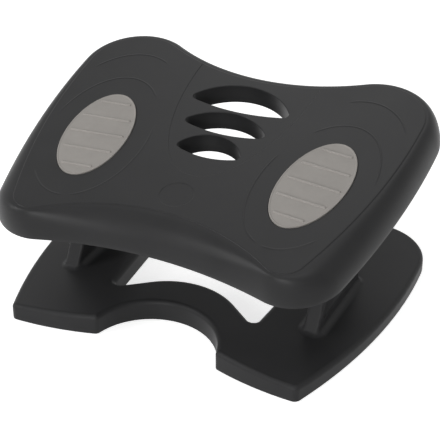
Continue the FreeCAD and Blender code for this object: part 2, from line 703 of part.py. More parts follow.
def upright():
    """Right upright: fin with rounded edges, a solid head and a boss for the bush."""
    left_x = UPRIGHT_X - HALF_UPRIGHT
    fin = upright_face(left_x).extrude(Vector(UPRIGHT_THICKNESS, 0, 0))
    long_edges = []
    for edge in fin.Edges:
        if edge.BoundBox.ZMin < BASE_EDGE_HEIGHT and edge.BoundBox.ZLength > BASE_MIDDLE_HEIGHT:
            long_edges.append(edge)
    fin = fin.makeFillet(UPRIGHT_EDGE_RADIUS, long_edges)
    boss = rod(HEAD_BOSS_RADIUS, UPRIGHT_THICKNESS, Vector(left_x, 0, PIVOT_HEIGHT), X_AXIS)
    return fin.fuse(boss).removeSplitter()


def upright_cuts():
    """Hollow, flank pocket, bore and plug holes of the right upright."""
    left_x = UPRIGHT_X - HALF_UPRIGHT
    head_start = PIVOT_HEIGHT - UPRIGHT_HEAD_SOLID
    across = Vector(UPRIGHT_THICKNESS - 2 * UPRIGHT_WALL, 0, 0)
    below_head = box(0, BASE_HALF_WIDTH, -BASE_REAR_Y, BASE_REAR_Y, 0, head_start)
    hollow = upright_face(left_x + UPRIGHT_WALL).makeOffset2D(-UPRIGHT_WALL)
    hollow = hollow.extrude(across).common(below_head)
    foot = upright_face(left_x + UPRIGHT_WALL).extrude(across)
    foot_front = UPRIGHT_FOOT_FRONT + 2 * UPRIGHT_WALL
    opened = box(0, BASE_HALF_WIDTH, foot_front, UPRIGHT_FOOT_REAR - UPRIGHT_WALL, 0, BASE_EDGE_HEIGHT)
    hollow = hollow.fuse(foot.common(opened))
    pocket = upright_face(left_x + UPRIGHT_THICKNESS - FLANK_POCKET).makeOffset2D(-FLANK_MARGIN)
    pocket = pocket.extrude(Vector(FLANK_POCKET, 0, 0))
    pocket_start = BASE_MIDDLE_HEIGHT + UPRIGHT_FLARE
    pocket = pocket.common(box(0, BASE_HALF_WIDTH, -BASE_REAR_Y, BASE_REAR_Y, pocket_start, head_start))
    bore = rod(BUSH_RADIUS + BUSH_FIT, UPRIGHT_THICKNESS, Vector(left_x, 0, PIVOT_HEIGHT), X_AXIS)
    cuts = [hollow, pocket, bore]
    for y in (-STOP_Y, STOP_Y):
        start = Vector(UPRIGHT_X, y, SHOULDER_HEIGHT - STOP_PLUG_LENGTH - STOP_FIT)
        cuts.append(rod(STOP_PLUG_RADIUS + STOP_FIT, STOP_PLUG_LENGTH + 2 * STOP_FIT, start, Z_AXIS))
    return cuts


def base_frame():
    """Moulded base: arched top, rounded edge, two uprights, and ribs and foot bosses underneath."""
    floor = FOOT_STAND_OUT
    frame = base_slab(floor, 2 * BASE_MIDDLE_HEIGHT, 0.0).common(base_crown(0.0))
    top_edges = [edge for edge in frame.Edges if edge.BoundBox.ZMin > BASE_EDGE_HEIGHT / 2]
    frame = frame.makeFillet(BASE_EDGE_RADIUS, top_edges)

    fin = upright()
    frame = frame.fuse([fin, mirrored(fin)]).removeSplitter()
    seam = []
    for edge in frame.Edges:
        spot = edge.BoundBox
        near_x = abs(abs(spot.Center.x) - UPRIGHT_X) < HALF_UPRIGHT + TOUCH
        near_y = UPRIGHT_FOOT_FRONT < spot.Center.y < UPRIGHT_FOOT_REAR
        if near_x and near_y and BASE_EDGE_HEIGHT / 2 < spot.ZMin and spot.ZMax < BASE_MIDDLE_HEIGHT:
            seam.append(edge)
    frame = frame.makeFillet(UPRIGHT_FLARE, seam)

    hollow = base_slab(0, 2 * BASE_MIDDLE_HEIGHT, BASE_WALL).common(base_crown(BASE_WALL))
    kept = []
    half_rib = BASE_RIB_THICKNESS / 2
    steps = int(BASE_HALF_WIDTH / BASE_RIB_PITCH) + 1
    for number in range(-steps, steps + 1):
        low = (number + 0.5) * BASE_RIB_PITCH - half_rib
        high = low + BASE_RIB_THICKNESS
        kept.append(box(low, high, -BASE_REAR_Y, BASE_REAR_Y, floor, BASE_MIDDLE_HEIGHT))
        kept.append(box(-BASE_HALF_WIDTH, BASE_HALF_WIDTH, low, high, floor, BASE_MIDDLE_HEIGHT))
    for x, y in FEET:
        for side in (-1, 1):
            boss = rod(FOOT_RADIUS + FOOT_BOSS_WALL, BASE_MIDDLE_HEIGHT, Vector(side * x, y, floor), Z_AXIS)
            kept.append(boss)
    hollow = hollow.cut(kept)
    cuts = [hollow]
    for x, y in FEET:
        for side in (-1, 1):
            cuts.append(rod(FOOT_RADIUS + FOOT_FIT, FOOT_THICKNESS, Vector(side * x, y, 0), Z_AXIS))
    for cut in upright_cuts():
        cuts.append(cut)
        cuts.append(mirrored(cut))
    return frame.cut(cuts)


def rubber_foot(side, place):
    """Round rubber foot, glued in its socket under the base."""
    x, y = place
    foot = rod(FOOT_RADIUS, FOOT_THICKNESS, Vector(side * x, y, 0), Z_AXIS)
    rim = [e for e in foot.Edges if e.BoundBox.ZMax < TOUCH]
    return foot.makeChamfer(FOOT_STAND_OUT / 3, rim)


def on_platform(shape):
    """Puts a shape from the platform's axes, with its top face at Z 0, onto the tilted platform."""
    placed = shape.copy()
    placed.translate(Vector(0, -PIVOT_BEHIND_PADS, PIVOT_DEPTH))
    placed.rotate(Vector(0, 0, 0), X_AXIS, TILT)
    placed.translate(Vector(0, 0, PIVOT_HEIGHT))
    return placed


def at_hinge(shape, side, tilted):
    """Puts a shape from the axes of the hinge at one of the two hinges."""
    placed = shape.copy()
    if side < 0:
        placed = mirrored(placed)
    if tilted:
        placed.rotate(Vector(0, 0, 0), X_AXIS, TILT)
    placed.translate(Vector(side * UPRIGHT_X, 0, PIVOT_HEIGHT))
    return placed


def save(name, shape):
    """Checks a piece and writes it."""
    for solid in shape.Solids:
        if not solid.isValid() or solid.Volume <= 0:
            raise ValueError(name + " has a solid that isn't sound")
    shape.exportStep("parts/" + name + ".step")
    size = shape.optimalBoundingBox(False, False)
    print(name, len(shape.Solids), round(shape.Volume), "x", round(size.XMin, 2), round(size.XMax, 2),
          "y", round(size.YMin, 2), round(size.YMax, 2), "z", round(size.ZMin, 2), round(size.ZMax, 2))


os.makedirs("parts", exist_ok=True)
save("platform_shell", on_platform(platform_shell()))
save("base_frame", base_frame())
for word, side in (("left", -1), ("right", 1)):
    save("massage_pad_" + word, on_platform(massage_pad(side)))
    save("pad_clips_" + word, on_platform(pad_clips(side)))
    save("hinge_bracket_" + word, at_hinge(hinge_bracket(), side, True))
    save("bracket_screws_" + word, at_hinge(bracket_screws(), side, True))
    save("pivot_bolt_" + word, at_hinge(pivot_bolt(), side, True))
    save("head_washer_" + word, at_hinge(head_washer(), side, True))
    save("spring_washer_" + word, at_hinge(spring_washer(), side, True))
    save("lock_nut_" + word, at_hinge(lock_nut(), side, True))
    save("pivot_bush_" + word, at_hinge(pivot_bush(), side, False))
    save("friction_disc_outer_" + word, at_hinge(friction_disc(HALF_UPRIGHT), side, False))
    inner_start = -HALF_UPRIGHT - DISC_THICKNESS
    save("friction_disc_inner_" + word, at_hinge(friction_disc(inner_start), side, False))
    save("tilt_stop_front_" + word, at_hinge(tilt_stop(-STOP_Y), side, False))
    save("tilt_stop_rear_" + word, at_hinge(tilt_stop(STOP_Y), side, False))
    save("rubber_foot_front_" + word, rubber_foot(side, FEET[0]))
    save("rubber_foot_rear_" + word, rubber_foot(side, FEET[1]))
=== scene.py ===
import math

import bmesh
import bpy
import numpy as np
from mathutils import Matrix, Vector, geometry


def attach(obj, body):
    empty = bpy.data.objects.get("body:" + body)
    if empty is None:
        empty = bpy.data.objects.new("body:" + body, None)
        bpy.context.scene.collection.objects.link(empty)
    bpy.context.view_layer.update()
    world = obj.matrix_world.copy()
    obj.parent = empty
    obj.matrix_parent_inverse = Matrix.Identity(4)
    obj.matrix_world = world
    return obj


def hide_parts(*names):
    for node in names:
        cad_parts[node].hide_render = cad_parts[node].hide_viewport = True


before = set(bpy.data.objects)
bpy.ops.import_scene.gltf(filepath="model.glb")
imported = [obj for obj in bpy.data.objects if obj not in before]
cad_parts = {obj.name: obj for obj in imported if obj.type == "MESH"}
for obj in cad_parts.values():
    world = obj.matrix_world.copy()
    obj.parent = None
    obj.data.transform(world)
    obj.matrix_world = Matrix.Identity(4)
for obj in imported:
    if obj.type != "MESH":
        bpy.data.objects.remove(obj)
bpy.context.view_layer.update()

# The base: one charcoal moulding with two lobes, the curved band between them and the two
# uprights. Its CAD mesh has the right form, so a merged copy carries the smooth shading,
# and the grain of the mould comes from the material.

#                  colour, roughness, shine
CHARCOAL_MOULDING = ((0.030, 0.030, 0.031), 0.44, 0.12)
MERGE_DISTANCE = 2e-6
STRAIGHT_DEGREES = 0.5
SHARP_DEGREES = 30.0


class Finish:
    """A material on the Principled shader, with all its patterns on Object coordinates."""

    def __init__(self, name, sockets):
        self.material = bpy.data.materials.new(name)
        self.material.use_nodes = True
        self.nodes = self.material.node_tree.nodes
        self.links = self.material.node_tree.links
        self.shader = self.nodes["Principled BSDF"]
        self.place = self.nodes.new("ShaderNodeTexCoord")
        for socket, value in sockets.items():
            self.shader.inputs[socket].default_value = value

    def noise(self, scale, detail=2.0, roughness=0.5, distortion=0.0):
        """Cloudy pattern of 0 to 1."""
        clouds = self.nodes.new("ShaderNodeTexNoise")
        clouds.inputs["Scale"].default_value = scale
        clouds.inputs["Detail"].default_value = detail
        clouds.inputs["Roughness"].default_value = roughness
        clouds.inputs["Distortion"].default_value = distortion
        self.links.new(self.place.outputs["Object"], clouds.inputs["Vector"])
        return clouds.outputs["Fac"]

    def cells(self, scale):
        """Distance to the nearest of many scattered points."""
        flecks = self.nodes.new("ShaderNodeTexVoronoi")
        flecks.inputs["Scale"].default_value = scale
        self.links.new(self.place.outputs["Object"], flecks.inputs["Vector"])
        return flecks.outputs["Distance"]

    def tint(self, pattern, low, high, low_at=0.0, high_at=1.0):
        """Base colour that goes from low to high as the pattern goes from low_at to high_at."""
        tones = self.nodes.new("ShaderNodeValToRGB")
        tones.color_ramp.elements[0].position = low_at
        tones.color_ramp.elements[1].position = high_at
        tones.color_ramp.elements[0].color = [*low, 1]
        tones.color_ramp.elements[1].color = [*high, 1]
        self.links.new(pattern, tones.inputs["Fac"])
        self.links.new(tones.outputs["Color"], self.shader.inputs["Base Color"])

    def gloss(self, pattern, low, high, low_at=0.0, high_at=1.0):
        """Roughness that goes from low to high as the pattern goes from low_at to high_at."""
        share = self.nodes.new("ShaderNodeMapRange")
        share.inputs["From Min"].default_value = low_at
        share.inputs["From Max"].default_value = high_at
        share.inputs["To Min"].default_value = low
        share.inputs["To Max"].default_value = high
        self.links.new(pattern, share.inputs["Value"])
        self.links.new(share.outputs["Result"], self.shader.inputs["Roughness"])

    def bump(self, pattern, distance, strength):
        """Fine relief, as high as distance in metres where the pattern is 1."""
        relief = self.nodes.new("ShaderNodeBump")
        relief.inputs["Distance"].default_value = distance
        relief.inputs["Strength"].default_value = strength
        self.links.new(pattern, relief.inputs["Height"])
        self.links.new(relief.outputs["Normal"], self.shader.inputs["Normal"])


def shade(colour, share):
    """A colour with each of its parts times share."""
    return [share * part for part in colour]


def moulded_plastic(name, colour, roughness, shine):
    """Satin moulding plastic: the fine spark-eroded grain of the mould as bump, and faint cloudy
    changes of colour and gloss."""
    plastic = Finish(name, {"Specular IOR Level": shine})
    clouds = plastic.noise(scale=22.0, detail=3.0)
    plastic.tint(clouds, shade(colour, 0.92), shade(colour, 1.08), low_at=0.3, high_at=0.7)
    plastic.gloss(clouds, roughness - 0.03, roughness + 0.04, low_at=0.3, high_at=0.7)
    plastic.bump(plastic.noise(scale=1600.0), distance=0.00006, strength=0.6)
    return plastic.material


def dress(piece, material, body, slot, *nodes):
    """Gives a piece its material and the body it moves with, and hides the CAD nodes that it stands
    for. The slot argument is not used."""
    piece.data.materials.clear()
    piece.data.materials.append(material)
    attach(piece, body)
    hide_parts(*nodes)


def new_piece(name, mesh, sharp_degrees):
    """Puts a mesh in the scene, shaded smooth but at edges sharper than an angle."""
    mesh.shade_smooth()
    mesh.set_sharp_from_angle(angle=math.radians(sharp_degrees))
    piece = bpy.data.objects.new(name, mesh)
    bpy.context.scene.collection.objects.link(piece)
    return piece


def keep_flat(piece, weighting):
    """Weights each corner's normal by its faces, so that a large flat face is shaded flat."""
    flat = piece.modifiers.new("flat faces stay flat", "WEIGHTED_NORMAL")
    flat.mode = weighting
    flat.keep_sharp = True


def smoothed(node, name, rounding=0.0):
    """Copy of a CAD node with its triangles merged, whose sharp edges can be rounded a little."""
    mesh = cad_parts[node].data.copy()
    work = bmesh.new()
    work.from_mesh(mesh)
    bmesh.ops.remove_doubles(work, verts=work.verts, dist=MERGE_DISTANCE)
    if rounding:
        straight = math.radians(STRAIGHT_DEGREES)
        bmesh.ops.dissolve_limit(work, angle_limit=straight, verts=work.verts, edges=work.edges)
    work.to_mesh(mesh)
    work.free()
    mesh.name = name
    piece = new_piece(name, mesh, SHARP_DEGREES)
    if rounding:
        soft = piece.modifiers.new("soft edges", "BEVEL")
        soft.width = rounding
        soft.segments = 2
        soft.limit_method = "ANGLE"
        soft.angle_limit = math.radians(SHARP_DEGREES)
    keep_flat(piece, "FACE_AREA_WITH_ANGLE")
    return piece


charcoal_base = moulded_plastic("charcoal_base_plastic", *CHARCOAL_MOULDING)
base = smoothed("base_frame", "base_moulding")
dress(base, charcoal_base, "base", "base_plastic", "base_frame")

# Four round feet of black rubber, glued in sockets under the base, and four tilt stops of the
# same sort of rubber, pushed into holes in the uprights' shoulders. Both are moulded, matt and
# a bit dusty.

BLACK = (0.026, 0.026, 0.025)
FOOT_ROUNDING = 0.0003
STOP_ROUNDING = 0.0005


def moulded_rubber(name, colour, roughness, dust):
    """Matt rubber: soft mottling of the colour, by a share of dust, a bloom that varies the
    roughness, and fine pores as bump."""
    rubber = Finish(name, {"Specular IOR Level": 0.35})
    mottle = rubber.noise(scale=45.0, detail=4.0, roughness=0.65)
    rubber.tint(mottle, shade(colour, 1 - dust), shade(colour, 1 + dust), low_at=0.3, high_at=0.7)
    rubber.gloss(mottle, roughness - 0.05, roughness + 0.08)
    rubber.bump(rubber.noise(scale=2200.0, detail=3.0), distance=0.00005, strength=0.5)
    return rubber.material


black_rubber = moulded_rubber("black_rubber", BLACK, roughness=0.72, dust=0.25)
for corner in ("front_left", "front_right", "rear_left", "rear_right"):
    foot = smoothed("rubber_foot_" + corner, "foot_" + corner, FOOT_ROUNDING)
    dress(foot, black_rubber, "base", "foot_rubber", "rubber_foot_" + corner)
    stop = smoothed("tilt_stop_" + corner, "stop_" + corner, STOP_ROUNDING)
    dress(stop, black_rubber, "base", "stop_rubber", "tilt_stop_" + corner)

# In each upright's bore sits a bush of undyed nylon, and on both sides of the upright lies a
# friction disc of brown lining: fibres and specks of metal pressed in resin.


def nylon(name):
    """Undyed nylon: milky, with a little light scattered inside, and a faint flow pattern."""
    milky = Finish(name, {"Subsurface Weight": 0.15, "Subsurface Scale": 0.002, "Roughness": 0.38})
    flow = milky.noise(scale=120.0, distortion=1.2)
    milky.tint(flow, (0.66, 0.64, 0.58), (0.78, 0.77, 0.72))
    return milky.material


def friction_lining(name):
    """Pressed lining: pale flecks of fibre in dark brown resin, from a cell pattern that also
    roughens the face."""
    lining = Finish(name, {"Roughness": 0.8})
    flecks = lining.cells(scale=1400.0)
    lining.tint(flecks, (0.30, 0.24, 0.15), (0.075, 0.058, 0.042), low_at=0.12, high_at=0.45)
    lining.bump(flecks, distance=0.00008, strength=0.7)
    return lining.material


undyed_nylon = nylon("undyed_nylon")
brown_lining = friction_lining("brown_lining")
for side in ("left", "right"):
    bush = smoothed("pivot_bush_" + side, "bush_" + side)
    dress(bush, undyed_nylon, "base", "bush_nylon", "pivot_bush_" + side)
    for face in ("outer", "inner"):
        node = "friction_disc_" + face + "_" + side
        disc = smoothed(node, "lining_" + face + "_" + side)
        dress(disc, brown_lining, "base", "friction_lining", node)

# Each hinge: a charcoal saddle with two lugs, four zinc plated screws, and a zinc plated bolt,
# washer and nut with a blued spring washer between, all clamped to the platform's side of it.

SADDLE_ROUNDING = 0.0006
STEEL_ROUNDING = 0.0002


def plated_steel(name, colour, roughness):
    """Plated or blued steel: metal with fine streaks in its gloss and a weak cloudy colour."""
    steel = Finish(name, {"Metallic": 1.0})
    clouds = steel.noise(scale=300.0, detail=3.0)
    steel.tint(clouds, shade(colour, 0.82), shade(colour, 1.08))
    steel.gloss(steel.noise(scale=1500.0), roughness - 0.08, roughness + 0.12)
    return steel.material


charcoal_bracket = moulded_plastic("charcoal_bracket_plastic", *CHARCOAL_MOULDING)
zinc = plated_steel("zinc_plating", (0.58, 0.59, 0.60), roughness=0.34)
blued = plated_steel("blued_steel", (0.16, 0.165, 0.185), roughness=0.36)
for side in ("left", "right"):
    saddle = smoothed("hinge_bracket_" + side, "saddle_" + side, SADDLE_ROUNDING)
    dress(saddle, charcoal_bracket, "platform", "bracket_plastic", "hinge_bracket_" + side)
    for node in ("bracket_screws_", "pivot_bolt_", "head_washer_", "lock_nut_"):
        steel = smoothed(node + side, "zinc_" + node + side, STEEL_ROUNDING)
        dress(steel, zinc, "platform", "zinc_steel", node + side)
    spring = smoothed("spring_washer_" + side, "spring_" + side, STEEL_ROUNDING)
    dress(spring, blued, "platform", "spring_steel", "spring_washer_" + side)

# The platform: one charcoal moulding whose top rolls over into the skirt, with a low step just
# inside the roll. It has three lens shaped slots with deep walls, a shallow petal round them,
# a plain disc, arcs of fine rings round each pad, and ribs and screw bosses underneath.

#             colour, roughness, shine
CHARCOAL_TOP = ((0.022, 0.022, 0.0227), 0.38, 0.16)
PLATFORM_SHARP_DEGREES = 40.0
DEGENERATE_EDGE = 1e-7
TILT = math.radians(12.0)
PIVOT_Z = 160.5
PIVOT_BEHIND_PADS = 30.0
PIVOT_DEPTH = 32.0
SKIRT_DEPTH = 36.0
STEP_HEIGHT = 0.9
WALL = 3.0
# Half width, y where it is widest, radius of the side, y and radius of the front, radius of the
# front corner, y and radius of the rear, radius of the rear corner; in plan, in millimetres.
FOOT = (227.5, 98.0, 960.0, -129.0, 523.0, 57.0, 165.0, 248.0, 76.0)
EDGE = (212.0, 112.0, 715.0, -95.0, 250.0, 26.0, 150.0, 258.0, 60.0)
LONG_RADII = (2, 4, 7)
LONG_ARC_STEPS = 60
FRONT_CORNER_STEPS = 28
REAR_CORNER_STEPS = 32
OUTER_CURVE_STEPS = 22
INNER_CURVE_STEPS = 14
#        front y, rear y, half width
SLOTS = ((4.0, 42.0, 40.0), (46.5, 84.0, 52.5), (88.5, 135.5, 63.0))
SLOT_SAG = 9.0
SLOT_TIP = 6.0
SLOT_STEPS = (26, 12, 30)
PAD_X = 133.0
PAD_HALF_WIDTH = 37.9
PAD_HALF_LENGTH = 72.4
PAD_SPLAY = math.radians(5.2)


def tilted(points):
    """Platform millimetres, with Z 0 on the top face, to metres in the frame: a turn about the
    hinge axis."""
    y = points[..., 1] - PIVOT_BEHIND_PADS
    z = points[..., 2] + PIVOT_DEPTH
    turned_y = y * math.cos(TILT) - z * math.sin(TILT)
    turned_z = PIVOT_Z + y * math.sin(TILT) + z * math.cos(TILT)
    return np.stack([points[..., 0], turned_y, turned_z], -1) / 1000


def sweep(centre, start, end, count):
    """Arc round centre from start to end, the short way, in even steps, without its last point."""
    first = math.atan2(start[1] - centre[1], start[0] - centre[0])
    last = math.atan2(end[1] - centre[1], end[0] - centre[0])
    turn = (last - first + math.pi) % (2 * math.pi) - math.pi
    angles = first + turn * np.arange(count) / count
    radius = math.hypot(start[0] - centre[0], start[1] - centre[1])
    return np.stack([centre[0] + radius * np.cos(angles), centre[1] + radius * np.sin(angles)], -1)


def meeting(first, first_radius, second, second_radius):
    """Right hand crossing of two circles: along the line of their centres, then square to it."""
    across = second - first
    span = np.hypot(*across)
    along = (first_radius ** 2 - second_radius ** 2 + span ** 2) / (2 * span)
    rise = math.sqrt(first_radius ** 2 - along ** 2)
    normal = np.array([-across[1], across[0]]) / span
    foot = first + across / span * along
    return max([foot + normal * rise, foot - normal * rise], key=lambda point: point[0])


def on_circle(centre, radius, point):
    """Point of a circle in the direction of another point."""
    way = point - centre
    return centre + way * radius / np.hypot(*way)


def both_halves(right):
    """Closed outline: its right half, whose ends lie on the middle line, and the mirror image."""
    return np.concatenate([right, right[-2:0:-1] * [-1, 1]])


def platform_outline(roll, inset):
    """Plan of the platform, moved inwards by inset: concave arcs at front and rear, bulging sides
    and four corner arcs. It mixes the skirt's foot, at roll 0, with the top edge, at roll 1, and
    the long radii by their curvature."""
    low = np.array(FOOT)
    high = np.array(EDGE)
    sizes = low + (high - low) * roll
    for place in LONG_RADII:
        sizes[place] = 1 / (1 / low[place] + (1 / high[place] - 1 / low[place]) * roll)
    half, widest, side_r, front_y, front_r, front_bend_r, rear_y, rear_r, rear_bend_r = sizes
    side = np.array([half - side_r, widest])
    front = np.array([0.0, front_y - front_r])
    rear = np.array([0.0, rear_y + rear_r])
    side_r = side_r - inset
    front_r = front_r + inset
    rear_r = rear_r + inset
    front_bend_r = front_bend_r - inset
    rear_bend_r = rear_bend_r - inset
    front_bend = meeting(front, front_r + front_bend_r, side, side_r - front_bend_r)
    rear_bend = meeting(rear, rear_r + rear_bend_r, side, side_r - rear_bend_r)
    front_end = on_circle(front, front_r, front_bend)
    side_start = on_circle(side, side_r, front_bend)
    side_end = on_circle(side, side_r, rear_bend)
    rear_end = on_circle(rear, rear_r, rear_bend)
    return both_halves(np.concatenate([
        sweep(front, front + [0, front_r], front_end, LONG_ARC_STEPS),
        sweep(front_bend, front_end, side_start, FRONT_CORNER_STEPS),
        sweep(side, side_start, side_end, LONG_ARC_STEPS),
        sweep(rear_bend, side_end, rear_end, REAR_CORNER_STEPS),
        sweep(rear, rear_end, rear - [0, rear_r], LONG_ARC_STEPS),
        [rear - [0, rear_r]],
    ]))


def slot_outline(slot, grow):
    """A lens: two arcs that meet in small round tips, moved outwards by grow."""
    front_y, rear_y, half = slot
    tip_y = front_y + SLOT_SAG
    front_r = (half ** 2 + SLOT_SAG ** 2) / (2 * SLOT_SAG)
    rise = rear_y - tip_y
    rear_r = (half ** 2 + rise ** 2) / (2 * rise)
    front = np.array([0.0, front_y + front_r])
    rear = np.array([0.0, rear_y - rear_r])
    tip = meeting(front, front_r - SLOT_TIP, rear, rear_r - SLOT_TIP)
    low = on_circle(front, front_r + grow, tip)
    high = on_circle(rear, rear_r + grow, tip)
    front_steps, tip_steps, rear_steps = SLOT_STEPS
    return both_halves(np.concatenate([
        sweep(front, front - [0, front_r + grow], low, front_steps),
        sweep(tip, low, high, tip_steps),
        sweep(rear, high, rear + [0, rear_r + grow], rear_steps),
        [rear + [0, rear_r + grow]],
    ]))


def on_pad(side, points):
    """Points in a pad's own axes to the platform's plan: turned by the splay, then moved."""
    x = points[:, 0] * math.cos(PAD_SPLAY) + points[:, 1] * math.sin(PAD_SPLAY)
    y = points[:, 1] * math.cos(PAD_SPLAY) - points[:, 0] * math.sin(PAD_SPLAY)
    return np.stack([side * (PAD_X + x), y], -1)


def off_pad(side, plan):
    """The platform's plan to a pad's own axes, the way back of on_pad."""
    x = side * plan[:, 0] - PAD_X
    across = x * math.cos(PAD_SPLAY) - plan[:, 1] * math.sin(PAD_SPLAY)
    along = x * math.sin(PAD_SPLAY) + plan[:, 1] * math.cos(PAD_SPLAY)
    return np.stack([across, along], -1)


def pad_arc(side, half_x, half_y, angles, grow):
    """Points of an ellipse in a pad's axes, moved outwards along its normal by grow."""
    normal = np.stack([np.cos(angles) / half_x, np.sin(angles) / half_y], -1)
    normal /= np.linalg.norm(normal, axis=-1, keepdims=True)
    x = half_x * np.cos(angles) + grow * normal[:, 0]
    y = half_y * np.sin(angles) + grow * normal[:, 1]
    return on_pad(side, np.stack([x, y], -1))


def pad_outline(side, grow, count):
    """A pad's oval, moved outwards by grow."""
    angles = np.arange(count) * 2 * math.pi / count
    return pad_arc(side, PAD_HALF_WIDTH, PAD_HALF_LENGTH, angles, grow)


def ellipse(centre, half_x, half_y, count):
    """Points at even angles round an ellipse."""
    angles = np.linspace(0, 2 * math.pi, count, endpoint=False)
    return np.stack([centre[0] + half_x * np.cos(angles), centre[1] + half_y * np.sin(angles)], -1)


def from_ellipse(points, centre, half_x, half_y):
    """Signed distance to an ellipse, to first order: its level function over its slope."""
    x = points[:, 0] - centre[0]
    y = points[:, 1] - centre[1]
    level = np.maximum(np.hypot(x / half_x, y / half_y), 1e-6)
    slope = np.hypot(x / half_x ** 2, y / half_y ** 2) / level
    return (level - 1) / slope


def smooth_step(value, low, high):
    """0 below low, 1 above high, and an S curve between."""
    part = np.clip((value - low) / (high - low), 0, 1)
    return part * part * (3 - 2 * part)


def from_outline(points, outline):
    """Distance of points to a closed outline: to the nearest point of each run, then the least."""
    start = outline[None]
    run = np.roll(outline, -1, axis=0)[None] - start
    gap = points[:, None] - start
    part = np.clip((gap * run).sum(-1) / (run * run).sum(-1), 0, 1)
    return np.linalg.norm(gap - run * part[..., None], axis=-1).min(1)


def inside(points, outline):
    """Whether points lie inside a closed outline: odd number of crossings of a ray along X."""
    a = outline[None]
    b = np.roll(outline, -1, axis=0)[None]
    x = points[:, None, 0]
    y = points[:, None, 1]
    spans = (a[..., 1] > y) != (b[..., 1] > y)
    run = np.where(spans, b[..., 1] - a[..., 1], 1)
    crossing = a[..., 0] + (y - a[..., 1]) * (b[..., 0] - a[..., 0]) / run
    return (spans & (x < crossing)).sum(1) % 2 == 1


#        centre, half width, half length
PETAL = ((0.0, 155.0), 76.0, 184.0)
DISC = ((0.0, -63.0), 19.0, 19.0)
PETAL_DEPTH = 0.6
DISC_DEPTH = 0.5
PETAL_POINTS = 220
DISC_POINTS = 60
SUNK_EDGE = 0.5
EDGE_LINES = (-1.0, -0.5, 0.0, 0.5, 1.0)
EDGE_CLEARANCE = 0.3
#        half width, half length, first and last angle of a ridge round a pad
RINGS = ((61.0, 106.0, 14.0, 134.0), (61.0, 106.0, 162.0, 260.0), (61.0, 106.0, 264.0, 316.0),
         (83.0, 153.0, 49.0, 113.0))
RING_HEIGHT = 0.5
RING_HALF_WIDTH = 1.7
RING_FADE = 7.0
RING_POINTS = 60
RING_LINES = (-1.0, -0.6, -0.3, 0.0, 0.3, 0.6, 1.0)


def ring_line(side, ring, offset):
    """One ridge's arc round a pad, moved outwards by an offset."""
    half_x, half_y, first, last = ring
    angles = np.radians(np.linspace(first, last, RING_POINTS))
    return pad_arc(side, half_x, half_y, angles, offset)


def ring_ridge(plan, side, ring):
    """Height of one ridge: a raised cosine across it, fading out over some degrees at both ends."""
    half_x, half_y, first, last = ring
    own = off_pad(side, plan)
    away = from_ellipse(own, (0.0, 0.0), half_x, half_y)
    half_arc = (last - first) / 2
    turn = np.degrees(np.arctan2(own[:, 1] / half_y, own[:, 0] / half_x)) - (first + last) / 2
    turn = np.abs((turn + 180) % 360 - 180)
    ends = 1 - smooth_step(turn, half_arc - RING_FADE, half_arc)
    return RING_HEIGHT * np.cos(np.clip(away / RING_HALF_WIDTH, -1, 1) * math.pi / 2) ** 2 * ends


def top_relief(plan):
    """Height of the top face over its plane: petal and disc sunk in, ridges by the pads raised."""
    height = 0.0
    for form, depth in ((PETAL, PETAL_DEPTH), (DISC, DISC_DEPTH)):
        height -= depth * (1 - smooth_step(from_ellipse(plan, *form), -SUNK_EDGE, SUNK_EDGE))
    for side in (-1, 1):
        for ring in RINGS:
            height += ring_ridge(plan, side, ring)
    return height


def runs(points, kept):
    """The unbroken stretches of a closed line whose points are kept."""
    if kept.all():
        return [np.concatenate([points, points[:1]])]
    shift = int(np.argmin(kept))
    points = np.roll(points, -shift, axis=0)
    kept = np.roll(kept, -shift)
    cuts = np.flatnonzero(np.diff(kept.astype(int))) + 1
    parts = np.split(np.arange(len(points)), cuts)
    return [points[part] for part in parts if kept[part[0]] and len(part) > 2]


FILL_INSIDE = 1
FILL_MERGE = 1e-4


def flat_fill(outer, holes, lines):
    """Triangles inside outer and outside the holes, by Delaunay, with every line kept as edges."""
    points = np.concatenate([outer, *holes, *lines])
    edges = []
    count = 0
    for loop in [outer, *holes]:
        places = np.arange(len(loop))
        edges.append(np.stack([places, np.roll(places, -1)], -1) + count)
        count += len(loop)
    for line in lines:
        places = np.arange(len(line) - 1)
        edges.append(np.stack([places, places + 1], -1) + count)
        count += len(line)
    flat = [Vector(point) for point in points]
    edges = np.concatenate(edges).tolist()
    found = geometry.delaunay_2d_cdt(flat, edges, [], FILL_INSIDE, FILL_MERGE)
    plan = np.array([point[:] for point in found[0]])
    faces = np.array(found[2])
    middles = plan[faces].mean(1)
    for hole in holes:
        outside = ~inside(middles, hole)
        faces = faces[outside]
        middles = middles[outside]
    return plan, faces


def quads_between(rows, columns):
    """Quads between closed rows of equal length, each row laid out after the one before."""
    starts = np.arange(rows - 1)[:, None] * columns
    here = starts + np.arange(columns)[None]
    ahead = starts + (np.arange(columns)[None] + 1) % columns
    return np.stack([here, ahead, ahead + columns, here + columns], -1).reshape(-1, 4)


def rows_of(outline_at, section):
    """Closed rows of points: the outline at each step of a section, at that step's height."""
    rows = []
    for step in section:
        outline = outline_at(step)
        rows.append(np.column_stack([outline, np.full(len(outline), step[-1])]))
    return np.stack(rows)


CAP_SHARES = (1.0, 0.7, 0.4, 0.12)


